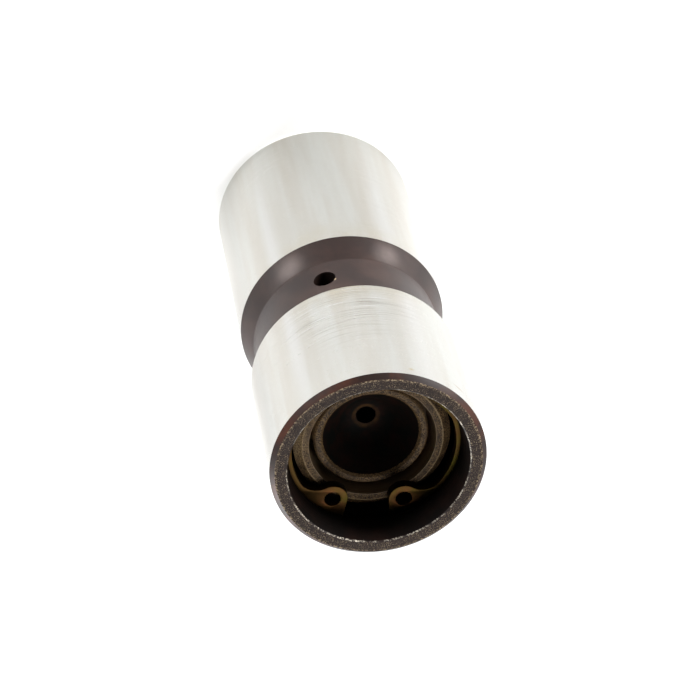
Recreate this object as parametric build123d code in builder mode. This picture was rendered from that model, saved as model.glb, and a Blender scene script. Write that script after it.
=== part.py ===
from build123d import *
import os
from math import cos, radians, sin, sqrt, tan

# Hydraulic valve lifter of the flat kind, in millimetres.
# It stands on its foot, the closed end that rides on the cam. Z runs up its axis, from the foot at z = 0
# to the mouth, the open end that takes the pushrod. Depths are measured down from the mouth.
# The snap ring's gap faces +Y, and the oil feed hole opens near -Y.

# Lifter body
body_diameter = 22.2
body_length = 50.6
body_wall = 2.93  # from the ground outside to the plunger bore
foot_thickness = 6.0
foot_chamfer = 0.4
floor_fillet = 0.6

# Mouth of the body
mouth_chamfer = 0.5
mouth_wall = 1.75  # from the ground outside to the mouth's inner edge
mouth_edge_break = 0.12
lead_in_depth = 3.0
relief_wall = 2.2  # from the ground outside to the relief bore
relief_depth = 7.6
relief_slope = 30  # degrees between the axis and the shoulder under the relief

# Oil band round the body, and the feed hole in its middle
band_start = 16.9
band_length = 10.0
band_depth = 1.1
band_upper_flank = 1.1
band_lower_flank = 2.8
feed_hole_diameter = 2.4
feed_hole_angle = -69

# Snap ring, with two plier lugs beside its gap and a thicker back
ring_depth = 3.4  # from the mouth to the ring's upper face
ring_thickness = 1.06
ring_seat = 0.55  # how far the ring reaches into the wall of the relief bore
ring_clearance = 0.04
ring_side_width = 1.0
ring_hold = 0.65  # how far the ring's thick back reaches over the plunger's edge
ring_back_start = 115  # degrees from the middle of the gap to where the back begins to thicken
lug_angle = 30.2  # degrees from the middle of the gap to a lug's hole
lug_inset = 2.02  # from the ring's rim to a lug's hole
lug_radius = 1.6
lug_hole_diameter = 1.66
lug_fillet = 2.0
gap_flare = 9  # degrees between the middle of the gap and its sides

# Plunger
plunger_clearance = 0.02  # radial
plunger_gap = 0.03  # under the snap ring
plunger_travel = 4.5
plunger_top_wall = 1.57
plunger_top_flat = 0.72
plunger_top_chamfer = 0.65
plunger_foot_chamfer = 0.4
seat_pocket_depth = 7.1
reservoir_wall = 2.95
plunger_floor = 3.0
waist_depth = 0.5
waist_margin = 0.6  # how far the waist reaches past the feed hole at each end of the travel
waist_chamfer = 0.35
cross_hole_diameter = 1.8
cross_hole_angle = 60

# Pushrod seat
seat_height = 6.05
seat_fit = 0.05  # radial, between the seat's flange and the plunger's pocket
seat_moat = 0.64  # radial, between the seat's boss and the plunger's pocket
seat_flange_height = 1.6
seat_rim_width = 0.96
seat_rim_drop = 0.25  # the rim's inner edge falls away into the cup
seat_chamfer = 0.2
cup_ball_diameter = 8.0  # the pushrod's ball end
cup_half_angle = 40
cup_hole_diameter = 2.06
recess_rim = 0.45

# Metering disc
disc_thickness = 0.3
disc_lift = 0.25
disc_fit = 0.15
disc_hole_diameter = 0.6
disc_notch_radius = 0.9
disc_notches = 3

# Check valve under the plunger
valve_hole_diameter = 3.0
valve_chamfer = 0.6
ball_diameter = 4.76
ball_gap = 0.03  # between the ball and its seat
cage_thickness = 0.5
cage_flange_margin = 0.55
cage_cup_fit = 0.35
cage_floor_gap = 1.6  # between the cage and the body's floor, with the plunger down
cage_fillet = 0.45
cage_windows = 4
cage_window_width = 1.6
cage_window_height = 2.4
ball_spring_wire = 0.28
ball_spring_radius = 1.1
ball_spring_turns = 3
ball_spring_room = 1.5  # from the cage's floor to where the spring meets the ball

# Plunger spring
spring_wire = 1.0
spring_bore_gap = 0.6
spring_end_gap = 0.02
spring_open_turns = 3
spring_reserve = 0.5  # what is left before the coils close up, with the plunger down
closed_turn_gap = 0.04


# Radii and heights that follow from the sizes above
body_radius = body_diameter / 2
bore_radius = body_radius - body_wall
relief_radius = body_radius - relief_wall
mouth_radius = body_radius - mouth_wall
feed_hole_height = body_length - band_start - (band_length + band_upper_flank - band_lower_flank) / 2

ring_radius = relief_radius + ring_seat
ring_bottom = body_length - ring_depth - ring_thickness

# The ball hangs in the valve's 45 degree seat, the cage hangs below the ball's spring, and the plunger
# stands as high as its spring or its cage needs when it is pushed all the way down
ball_radius = ball_diameter / 2
valve_mouth_radius = valve_hole_diameter / 2 + valve_chamfer
ball_drop = ball_radius * sqrt(2) - valve_mouth_radius + ball_gap
ball_contact_drop = ball_drop + sqrt(ball_radius**2 - ball_spring_radius**2)
cage_depth = ball_contact_drop + ball_spring_room
closed_spring = (spring_open_turns + 3) * spring_wire
cage_need = cage_depth + cage_thickness + cage_floor_gap
spring_need = cage_thickness + closed_spring + spring_reserve

plunger_radius = bore_radius - plunger_clearance
plunger_top = ring_bottom - plunger_gap
plunger_bottom = foot_thickness + plunger_travel + max(cage_need, spring_need)
pocket_radius = plunger_radius - plunger_top_wall
pocket_floor = plunger_top - seat_pocket_depth
reservoir_radius = plunger_radius - reservoir_wall

flange_radius = pocket_radius - seat_fit
boss_radius = pocket_radius - seat_moat
recess_radius = flange_radius - recess_rim
recess_depth = disc_thickness + disc_lift
disc_radius = recess_radius - disc_fit

ball_height = plunger_bottom - ball_drop
cage_floor = plunger_bottom - cage_depth
cage_cup_radius = ball_radius + cage_cup_fit


# Body: turned, bored, and ground on its two lands
with BuildPart() as lifter_body:
    Cylinder(body_radius, body_length, align=(Align.CENTER, Align.CENTER, Align.MIN))
    chamfer(lifter_body.edges().group_by(Axis.Z)[-1], length=mouth_chamfer)
    chamfer(lifter_body.edges().group_by(Axis.Z)[0], length=foot_chamfer)

    # Oil band: a steep flank above and a long one below
    band_top = body_length - band_start
    band_bottom = band_top - band_length
    band_floor_radius = body_radius - band_depth
    with BuildSketch(Plane.XZ) as band_section:
        with BuildLine():
            Polyline(
                (body_radius + band_depth, band_top + band_upper_flank),
                (band_floor_radius, band_top - band_upper_flank),
                (band_floor_radius, band_bottom + band_lower_flank),
                (body_radius + band_depth, band_bottom - band_lower_flank),
                close=True,
            )
        make_face()
    revolve(axis=Axis.Z, mode=Mode.SUBTRACT)

    # Bore: a slightly conical mouth, the relief, its shoulder and the plunger's cylinder
    lead_in_end = body_length - lead_in_depth
    relief_end = body_length - relief_depth
    shoulder_drop = (relief_radius - bore_radius) / tan(radians(relief_slope))
    with BuildSketch(Plane.XZ) as bore_section:
        with BuildLine():
            Polyline(
                (0, foot_thickness),
                (bore_radius, foot_thickness),
                (bore_radius, relief_end - shoulder_drop),
                (relief_radius, relief_end),
                (relief_radius, lead_in_end),
                (mouth_radius, body_length),
                (0, body_length),
                close=True,
            )
        make_face()
        fillet(bore_section.vertices().group_by(Axis.Y)[0].sort_by(Axis.X)[-1], floor_fillet)
    revolve(axis=Axis.Z, mode=Mode.SUBTRACT)
    mouth_edges = lifter_body.edges().filter_by(GeomType.CIRCLE).group_by(Axis.Z)[-1]
    chamfer(mouth_edges.sort_by(SortBy.RADIUS)[0], length=mouth_edge_break)

    # Groove for the snap ring
    with BuildSketch(Plane.XY.offset(ring_bottom - ring_clearance)):
        Circle(ring_radius + ring_clearance)
    extrude(amount=ring_thickness + 2 * ring_clearance, mode=Mode.SUBTRACT)

    # Oil feed hole, through one wall only
    feed_direction = Vector(1, 0, 0).rotate(Axis.Z, feed_hole_angle)
    with BuildSketch(Plane(origin=(0, 0, feed_hole_height), z_dir=feed_direction)):
        Circle(feed_hole_diameter / 2)
    extrude(amount=body_radius, mode=Mode.SUBTRACT)


# Snap ring: its window is round at the sides and drawn in towards the back, which is thicker for that
side_radius = ring_radius - ring_side_width
back_reach = plunger_radius - ring_hold
back_start_y = side_radius * cos(radians(ring_back_start))
back_shift = (side_radius**2 - back_reach**2) / (2 * (back_start_y + back_reach))
lug_centre_radius = ring_radius - lug_inset
lug_x = lug_centre_radius * sin(radians(lug_angle))
lug_y = lug_centre_radius * cos(radians(lug_angle))

with BuildSketch(Plane.XY.offset(ring_bottom)) as ring_window:
    Circle(side_radius)
    with Locations((0, back_shift)):
        Circle(back_reach + back_shift, mode=Mode.INTERSECT)

with BuildPart() as retaining_ring:
    with BuildSketch(Plane.XY.offset(ring_bottom)) as ring_outline:
        Circle(ring_radius)
        add(ring_window.sketch, mode=Mode.SUBTRACT)

        # One lug, and the neck that carries it on the gap's side
        gap_side_x = lug_x - lug_radius * cos(radians(gap_flare))
        gap_side_y = lug_y + lug_radius * sin(radians(gap_flare))
        neck_height = ring_radius - gap_side_y
        neck_top_x = gap_side_x + neck_height * tan(radians(gap_flare))
        with Locations((lug_x, lug_y)):
            Circle(lug_radius)
        with BuildLine():
            Polyline(
                (lug_x, lug_y),
                (gap_side_x, gap_side_y),
                (neck_top_x, ring_radius),
                (lug_x, ring_radius),
                close=True,
            )
        make_face()
        mirror(about=Plane.YZ)
        Circle(ring_radius, mode=Mode.INTERSECT)

        # The gap, flared outwards along the lugs' sides
        with BuildLine():
            Polyline(
                (-gap_side_x, gap_side_y),
                (gap_side_x, gap_side_y),
                (neck_top_x, ring_radius),
                (-neck_top_x, ring_radius),
                close=True,
            )
        make_face(mode=Mode.SUBTRACT)
        lug_corners = ring_outline.vertices().filter_by(
            lambda corner: abs(corner.X) > lug_x
            and corner.Y > 0
            and abs(Vector(corner).length - side_radius) < 0.01
        )
        fillet(lug_corners, lug_fillet)
        with Locations((lug_x, lug_y), (-lug_x, lug_y)):
            Circle(lug_hole_diameter / 2, mode=Mode.SUBTRACT)
    extrude(amount=ring_thickness)


# Plunger: a hollow piston with a pocket for the pushrod seat above and the check valve's seat below
waist_bottom = feed_hole_height - feed_hole_diameter / 2 - waist_margin
waist_top = feed_hole_height + feed_hole_diameter / 2 + waist_margin + plunger_travel
with BuildPart() as plunger:
    with Locations((0, 0, plunger_bottom)):
        Cylinder(
            plunger_radius,
            plunger_top - plunger_bottom,
            align=(Align.CENTER, Align.CENTER, Align.MIN),
        )
    top_edge = plunger.edges().group_by(Axis.Z)[-1]
    top_chamfer_width = plunger_top_wall - plunger_top_flat
    chamfer(
        top_edge,
        length=top_chamfer_width,
        length2=plunger_top_chamfer,
        reference=plunger.faces().sort_by(Axis.Z)[-1],
    )
    chamfer(plunger.edges().group_by(Axis.Z)[0], length=plunger_foot_chamfer)

    # Waist that stays in line with the body's feed hole over the whole travel
    with BuildSketch(Plane.XZ) as waist_section:
        with Locations((plunger_radius, (waist_top + waist_bottom) / 2)):
            Rectangle(2 * waist_depth, waist_top - waist_bottom)
        chamfer(waist_section.vertices().group_by(Axis.X)[0], length=waist_chamfer)
    revolve(axis=Axis.Z, mode=Mode.SUBTRACT)

    # Pocket, reservoir and valve hole
    with BuildSketch(Plane.XY.offset(plunger_top)):
        Circle(pocket_radius)
    extrude(amount=-seat_pocket_depth, mode=Mode.SUBTRACT)
    with BuildSketch(Plane.XY.offset(pocket_floor)):
        Circle(reservoir_radius)
    extrude(amount=plunger_bottom + plunger_floor - pocket_floor, mode=Mode.SUBTRACT)
    with BuildSketch(Plane.XY.offset(plunger_bottom)):
        Circle(valve_hole_diameter / 2)
    extrude(amount=plunger_floor, mode=Mode.SUBTRACT)
    valve_edges = plunger.edges().filter_by(GeomType.CIRCLE).group_by(Axis.Z)[0]
    chamfer(valve_edges.sort_by(SortBy.RADIUS)[0], length=valve_chamfer)

    # Cross hole from the waist into the reservoir
    cross_direction = Vector(1, 0, 0).rotate(Axis.Z, cross_hole_angle)
    with BuildSketch(Plane(origin=(0, 0, (waist_top + waist_bottom) / 2), z_dir=cross_direction)):
        Circle(cross_hole_diameter / 2)
    extrude(amount=plunger_radius, mode=Mode.SUBTRACT)


# Pushrod seat: a cup whose cone runs into the ball's radius, on a flange that fits the plunger's pocket
cup_ball_radius = cup_ball_diameter / 2
cup_opening_radius = boss_radius - seat_rim_width
seat_top = pocket_floor + seat_height
cup_slope = radians(cup_half_angle)
cone_end_radius = cup_ball_radius * cos(cup_slope)
cone_length = (cup_opening_radius - cone_end_radius) / sin(cup_slope)
cone_end_height = seat_top - seat_rim_drop - cone_length * cos(cup_slope)
cup_centre_height = cone_end_height + cup_ball_radius * sin(cup_slope)
with BuildPart() as pushrod_seat:
    with Locations((0, 0, pocket_floor)):
        Cylinder(flange_radius, seat_flange_height, align=(Align.CENTER, Align.CENTER, Align.MIN))
        Cylinder(boss_radius, seat_height, align=(Align.CENTER, Align.CENTER, Align.MIN))
    seat_edges = pushrod_seat.edges().filter_by(GeomType.CIRCLE).group_by(Axis.Z)
    chamfer(seat_edges[0] + seat_edges[-1], length=seat_chamfer)

    with BuildSketch(Plane.XZ) as cup_section:
        with BuildLine():
            bowl = CenterArc((0, cup_centre_height), cup_ball_radius, -cup_half_angle, cup_half_angle - 90)
            Polyline(
                bowl @ 0,
                (cup_opening_radius, seat_top - seat_rim_drop),
                (cup_opening_radius + seat_rim_drop, seat_top),
                (0, seat_top),
                bowl @ 1,
            )
        make_face()
    revolve(axis=Axis.Z, mode=Mode.SUBTRACT)

    # Recess for the metering disc, and the oil hole up into the cup
    with BuildSketch(Plane.XY.offset(pocket_floor)):
        Circle(recess_radius)
    extrude(amount=recess_depth, mode=Mode.SUBTRACT)
    with BuildSketch(Plane.XY.offset(pocket_floor)):
        Circle(cup_hole_diameter / 2)
    extrude(amount=seat_height, mode=Mode.SUBTRACT)


# Metering disc, loose between the plunger's shoulder and the seat
with BuildPart() as metering_disc:
    with BuildSketch(Plane.XY.offset(pocket_floor)):
        Circle(disc_radius)
        Circle(disc_hole_diameter / 2, mode=Mode.SUBTRACT)
        with PolarLocations(disc_radius, disc_notches):
            Circle(disc_notch_radius, mode=Mode.SUBTRACT)
    extrude(amount=disc_thickness)


# Check ball under the valve hole
with BuildPart() as check_ball:
    with Locations((0, 0, ball_height)):
        Sphere(ball_radius)


# Ball cage: a pressed cup with windows, on a flange that the plunger spring holds up
with BuildPart() as ball_cage:
    with Locations((0, 0, plunger_bottom)):
        Cylinder(
            plunger_radius - cage_flange_margin,
            cage_thickness,
            align=(Align.CENTER, Align.CENTER, Align.MAX),
        )
        Cylinder(
            cage_cup_radius + cage_thickness,
            cage_depth + cage_thickness,
            align=(Align.CENTER, Align.CENTER, Align.MAX),
        )
    fillet(ball_cage.edges().filter_by(GeomType.CIRCLE).group_by(Axis.Z)[0], cage_fillet)
    with Locations((0, 0, plunger_bottom)):
        Cylinder(
            cage_cup_radius,
            cage_depth,
            align=(Align.CENTER, Align.CENTER, Align.MAX),
            mode=Mode.SUBTRACT,
        )
    window_centre = (plunger_bottom + cage_floor) / 2
    for turn in range(cage_windows):
        window_direction = Vector(1, 0, 0).rotate(Axis.Z, 360 / cage_windows * turn)
        with BuildSketch(Plane(origin=(0, 0, window_centre), x_dir=(0, 0, 1), z_dir=window_direction)):
            SlotOverall(cage_window_height, cage_window_width)
        extrude(amount=cage_cup_radius + 2 * cage_thickness, mode=Mode.SUBTRACT)


# A coil of round wire in half turns. Each is an arc in a plane of its own, tilted so that it rises by its
# share, and all of them are level where they meet, so the wire runs on without a kink.
def coil(wire, radius, bottom, rises):
    with BuildPart() as wound:
        height = bottom
        side = 1
        for rise in rises:
            start = Vector(side * radius, 0, height)
            centre = Vector(0, 0, height + rise / 2)
            turning_axis = Axis(centre, (side * rise / 2, 0, radius))
            with BuildSketch(Plane(origin=start, x_dir=(1, 0, 0), z_dir=(0, -1, 0))):
                Circle(wire / 2)
            revolve(axis=turning_axis, revolution_arc=180)
            height += rise
            side = -side
    return wound


# Ball spring: a few turns of fine wire between the cage's floor and the ball
ball_spring_bottom = cage_floor + ball_spring_wire / 2 + spring_end_gap
ball_spring_top = plunger_bottom - ball_contact_drop - ball_spring_wire / 2 - 2 * spring_end_gap
ball_half_turns = 2 * ball_spring_turns
ball_rise = (ball_spring_top - ball_spring_bottom) / ball_half_turns
ball_spring = coil(ball_spring_wire, ball_spring_radius, ball_spring_bottom, [ball_rise] * ball_half_turns)


# Plunger spring: open turns between a closed turn at each end
spring_radius = bore_radius - spring_bore_gap - spring_wire / 2
spring_bottom = foot_thickness + spring_end_gap + spring_wire / 2
spring_top = plunger_bottom - cage_thickness - spring_end_gap - spring_wire / 2
closed_pitch = spring_wire + closed_turn_gap
open_half_turns = 2 * spring_open_turns
open_rise = (spring_top - spring_bottom - 2 * closed_pitch) / open_half_turns
closed_turn = [closed_pitch / 2, closed_pitch / 2]
spring_rises = closed_turn + [open_rise] * open_half_turns + closed_turn
plunger_spring = coil(spring_wire, spring_radius, spring_bottom, spring_rises)


# Each piece under the name that its file carries
lifter_body.part.label = "lifter_body"
retaining_ring.part.label = "retaining_ring"
plunger.part.label = "plunger"
pushrod_seat.part.label = "pushrod_seat"
metering_disc.part.label = "metering_disc"
check_ball.part.label = "check_ball"
ball_cage.part.label = "ball_cage"
ball_spring.part.label = "ball_spring"
plunger_spring.part.label = "plunger_spring"

os.makedirs("parts", exist_ok=True)
export_step(lifter_body.part, "parts/lifter_body.step")
export_step(retaining_ring.part, "parts/retaining_ring.step")
export_step(plunger.part, "parts/plunger.step")
export_step(pushrod_seat.part, "parts/pushrod_seat.step")
export_step(metering_disc.part, "parts/metering_disc.step")
export_step(check_ball.part, "parts/check_ball.step")
export_step(ball_cage.part, "parts/ball_cage.step")
export_step(ball_spring.part, "parts/ball_spring.step")
export_step(plunger_spring.part, "parts/plunger_spring.step")
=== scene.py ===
# Hydraulic valve lifter with a flat foot, finished piece by piece over its CAD frame.
# It stands on its foot at z = 0 with its mouth at the top. The snap ring's gap faces +Y.
# Sizes are given in millimetres and kept in metres.

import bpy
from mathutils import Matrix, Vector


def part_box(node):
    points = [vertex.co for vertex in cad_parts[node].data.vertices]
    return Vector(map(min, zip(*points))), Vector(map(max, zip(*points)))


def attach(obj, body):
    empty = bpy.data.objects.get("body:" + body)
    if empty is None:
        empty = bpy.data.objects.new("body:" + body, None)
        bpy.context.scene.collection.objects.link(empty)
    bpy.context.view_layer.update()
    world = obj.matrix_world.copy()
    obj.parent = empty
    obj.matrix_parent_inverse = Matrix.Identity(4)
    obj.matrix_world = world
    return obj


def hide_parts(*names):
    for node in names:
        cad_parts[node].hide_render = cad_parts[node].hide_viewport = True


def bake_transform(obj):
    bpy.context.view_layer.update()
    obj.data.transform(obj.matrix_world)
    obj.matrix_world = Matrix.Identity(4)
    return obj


bl_info = {
    "name": "Valve lifter",
    "version": (1, 0, 0),
    "blender": (4, 5, 0),
    "location": "3D View > Sidebar > Lifter",
    "description": "Ground lifter body with its snap ring, plunger, pushrod seat, check valve and springs",
    "category": "Add Mesh",
}

from math import acos, asin, atan2, cos, degrees, pi, radians, sin, sqrt, tan
from types import SimpleNamespace

import bpy
from bpy.props import FloatProperty, FloatVectorProperty, PointerProperty
from mathutils import Matrix, Vector

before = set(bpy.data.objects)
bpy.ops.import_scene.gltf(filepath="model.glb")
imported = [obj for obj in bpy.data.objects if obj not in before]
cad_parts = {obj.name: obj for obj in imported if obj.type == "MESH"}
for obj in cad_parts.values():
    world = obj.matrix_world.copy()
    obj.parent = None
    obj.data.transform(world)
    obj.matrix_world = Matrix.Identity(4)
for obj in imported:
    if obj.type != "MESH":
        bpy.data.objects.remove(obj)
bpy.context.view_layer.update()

MM = 0.001
SIDES = 384  # round the turned pieces
HOLE_SIDES = 96  # round a drilled hole
ARC_STEPS = 5  # in a rounded corner
COIL_STEPS = 480  # along a spring's wire
WIRE_SIDES = 24  # round a spring's wire


# Sizes and colours that a user may change


def linear(hex_colour):
    """The linear colour of an sRGB hex value."""
    parts = [int(hex_colour[i : i + 2], 16) / 255 for i in (1, 3, 5)]
    return [c / 12.92 if c <= 0.04045 else ((c + 0.055) / 1.055) ** 2.4 for c in parts]


def length(name, mm, description):
    return FloatProperty(name=name, description=description, default=mm * MM, unit="LENGTH", precision=5)


def angle(name, turn, description):
    return FloatProperty(name=name, description=description, default=radians(turn), subtype="ANGLE")


def colour(name, hex_colour, description):
    return FloatVectorProperty(
        name=name, description=description, default=linear(hex_colour), subtype="COLOR", min=0, max=1
    )


body_low, body_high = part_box("lifter_body")
ring_low, ring_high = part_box("retaining_ring")
plunger_low, plunger_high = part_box("plunger")
seat_low, seat_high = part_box("pushrod_seat")
disc_low, disc_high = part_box("metering_disc")
ball_low, ball_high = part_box("check_ball")
cage_low, cage_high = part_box("ball_cage")
coil_low, coil_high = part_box("plunger_spring")
fine_coil_low, fine_coil_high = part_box("ball_spring")


class BodySizes(bpy.types.PropertyGroup):
    """The turned, bored and ground body"""

    radius: length("Radius", body_high.x / MM, "Ground outside of both lands")
    height: length("Length", body_high.z / MM, "From the foot to the mouth's face")
    foot_chamfer: length("Foot chamfer", 0.4, "Chamfer round the foot")
    foot_thickness: length("Foot thickness", 6.0, "From the foot to the bore's floor")
    mouth_chamfer: length("Mouth chamfer", 0.5, "Chamfer between the outside and the mouth's face")
    mouth_wall: length("Mouth wall", 1.75, "From the outside to the mouth's inner edge")
    edge_break: length("Edge break", 0.12, "Torn edge left by the boring tool at the mouth")
    lead_in: length("Lead-in", 3.0, "Depth of the slightly conical mouth")
    relief_wall: length("Relief wall", 2.2, "From the outside to the bore above the plunger")
    relief_depth: length("Relief depth", 7.6, "From the mouth to the relief's shoulder")
    shoulder_drop: length("Shoulder", 1.264, "Height of the shoulder under the relief")
    bore_wall: length("Bore wall", 2.93, "From the outside to the plunger's bore")
    groove_depth: length("Groove depth", 0.59, "How deep the snap ring's groove is cut")
    groove_top: length("Groove", 3.36, "From the mouth to the groove")
    groove_width: length("Groove width", 1.14, "Width of the snap ring's groove")
    band_start: length("Band start", 16.9, "From the mouth to the oil band's edge")
    band_length: length("Band length", 10.0, "Between the oil band's two edges")
    band_depth: length("Band depth", 1.1, "From the ground outside to the band's floor")
    upper_flank: length("Upper flank", 1.1, "Height of the flank nearer the mouth")
    lower_flank: length("Lower flank", 2.8, "Height of the long flank nearer the foot")
    hole_radius: length("Feed hole", 1.2, "Radius of the oil feed hole in the band")
    hole_angle: angle("Feed hole angle", -69, "Where the oil feed hole opens")


class RingSizes(bpy.types.PropertyGroup):
    """The stamped snap ring"""

    radius: length("Radius", ring_high.x / MM, "Outer radius, in the groove")
    bottom: length("Bottom", ring_low.z / MM, "Height of the ring's lower face")
    thickness: length("Thickness", (ring_high.z - ring_low.z) / MM, "Thickness of the strip")
    side_width: length("Side width", 1.0, "Width of the two arms")
    back_reach: length("Back", 7.5, "From the axis to the inner edge of the thick back")
    lug_radius: length("Lug radius", 1.6, "Rounding of the plier lugs")
    lug_centre: length("Lug centre", 7.43, "From the axis to a plier hole")
    lug_angle: angle("Lug angle", 30.2, "From the middle of the gap to a plier hole")
    gap_flare: angle("Gap flare", 9, "Between the middle of the gap and its sides")
    back_start: angle("Back start", 115, "From the middle of the gap to where the back thickens")
    hole_radius: length("Plier hole", 0.83, "Radius of the plier holes")
    fillet: length("Lug fillet", 2.0, "Hollow between a lug and its arm")
    rolled_edge: length("Rolled edge", 0.07, "Rounding that stamping leaves on the edges")


class PlungerSizes(bpy.types.PropertyGroup):
    """The hollow plunger"""

    radius: length("Radius", plunger_high.x / MM, "Ground outside")
    bottom: length("Bottom", plunger_low.z / MM, "Height of the lower end")
    foot_chamfer: length("Foot chamfer", 0.4, "Chamfer round the lower end")
    top: length("Top", plunger_high.z / MM, "Height of the upper end")
    top_wall: length("Top wall", 1.57, "From the outside to the seat's pocket")
    top_flat: length("Top flat", 0.72, "Width of the flat at the top")
    top_chamfer: length("Top chamfer", 0.65, "Height of the chamfer at the top")
    pocket_depth: length("Pocket", 7.1, "Depth of the pocket for the pushrod seat")
    reservoir_wall: length("Reservoir wall", 2.95, "From the outside to the oil reservoir")
    floor: length("Floor", 3.0, "Thickness of the floor with the valve hole")
    valve_hole: length("Valve hole", 1.5, "Radius of the valve hole")
    valve_seat: length("Valve seat", 0.6, "Chamfer that the check ball closes on")
    waist_low: length("Waist start", 27.75, "Height where the waist begins")
    waist_high: length("Waist end", 35.85, "Height where the waist ends")
    waist_depth: length("Waist depth", 0.5, "How deep the waist is cut")
    waist_chamfer: length("Waist chamfer", 0.35, "Chamfer at both ends of the waist")
    cross_hole: length("Cross hole", 0.9, "Radius of the hole from the waist into the reservoir")
    cross_angle: angle("Cross hole angle", 60, "Where the cross hole opens")


class SeatSizes(bpy.types.PropertyGroup):
    """The pushrod seat"""

    bottom: length("Bottom", seat_low.z / MM, "Height of the underside")
    top: length("Top", seat_high.z / MM, "Height of the rim")
    flange_radius: length("Flange radius", seat_high.x / MM, "Fits the plunger's pocket")
    flange_height: length("Flange height", 1.6, "Height of the flange")
    boss_radius: length("Boss radius", 5.94, "Outside of the cup")
    chamfer: length("Chamfer", 0.2, "Chamfer round the flange and the rim")
    rim_width: length("Rim width", 0.71, "From the boss's outside to the rim's bevel")
    rim_drop: length("Rim drop", 0.25, "Bevel from the rim into the cup")
    ball_radius: length("Cup radius", 4.0, "Radius of the pushrod's ball end")
    cone_angle: angle("Cone", 40, "Half angle of the cup's cone")
    hole_radius: length("Oil hole", 1.03, "Radius of the hole in the cup's bottom")
    recess_radius: length("Recess radius", 6.08, "Recess for the metering disc")
    recess_depth: length("Recess depth", 0.55, "Room for the metering disc and its lift")


class ValveSizes(bpy.types.PropertyGroup):
    """Metering disc, check ball and cage"""

    disc_radius: length("Disc radius", 5.93, "Outside of the metering disc")
    disc_bottom: length("Disc bottom", disc_low.z / MM, "Height of the disc's underside")
    disc_thickness: length("Disc thickness", 0.3, "Thickness of the metering disc")
    disc_edge: length("Disc edge", 0.03, "Rounding that stamping leaves on its edges")
    disc_hole: length("Disc hole", 0.3, "Radius of the metering hole")
    disc_notch: length("Disc notch", 0.9, "Radius of the three notches")
    ball_radius: length("Ball radius", 2.38, "Radius of the check ball")
    ball_height: length("Ball height", (ball_low.z + ball_high.z) / 2 / MM, "Height of its centre")
    cage_radius: length("Cage flange", cage_high.x / MM, "Outside of the cage's flange")
    cage_bottom: length("Cage bottom", cage_low.z / MM, "Height of the cup's underside")
    cage_top: length("Cage top", cage_high.z / MM, "Height of the flange's upper face")
    cage_sheet: length("Sheet", 0.5, "Thickness of the pressed sheet")
    cup_radius: length("Cup radius", 2.73, "Inside of the cup")
    window_height: length("Window height", 2.4, "Height of the four windows")
    window_width: length("Window width", 1.6, "Width of the four windows")


class SpringSizes(bpy.types.PropertyGroup):
    """The plunger spring and the check ball's spring"""

    wire: length("Plunger spring wire", 1.0, "Diameter of the wire")
    radius: length("Plunger spring radius", 7.07, "From the axis to the middle of the wire")
    bottom: length("Plunger spring bottom", coil_low.z / MM, "Height of the lower end")
    top: length("Plunger spring top", coil_high.z / MM, "Height of the upper end")
    turns: FloatProperty(name="Plunger spring turns", description="Number of turns", default=5)
    closing: FloatProperty(name="Closing", description="How far its end turns close up", default=0.42)
    fine_wire: length("Ball spring wire", 0.28, "Diameter of the wire")
    fine_radius: length("Ball spring radius", 1.1, "From the axis to the middle of the wire")
    fine_bottom: length("Ball spring bottom", fine_coil_low.z / MM, "Height of the lower end")
    fine_top: length("Ball spring top", fine_coil_high.z / MM, "Height of the upper end")
    fine_turns: FloatProperty(name="Ball spring turns", description="Number of turns", default=3)
    fine_closing: FloatProperty(name="Closing", description="How far its end turns close up", default=0.2)


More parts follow.
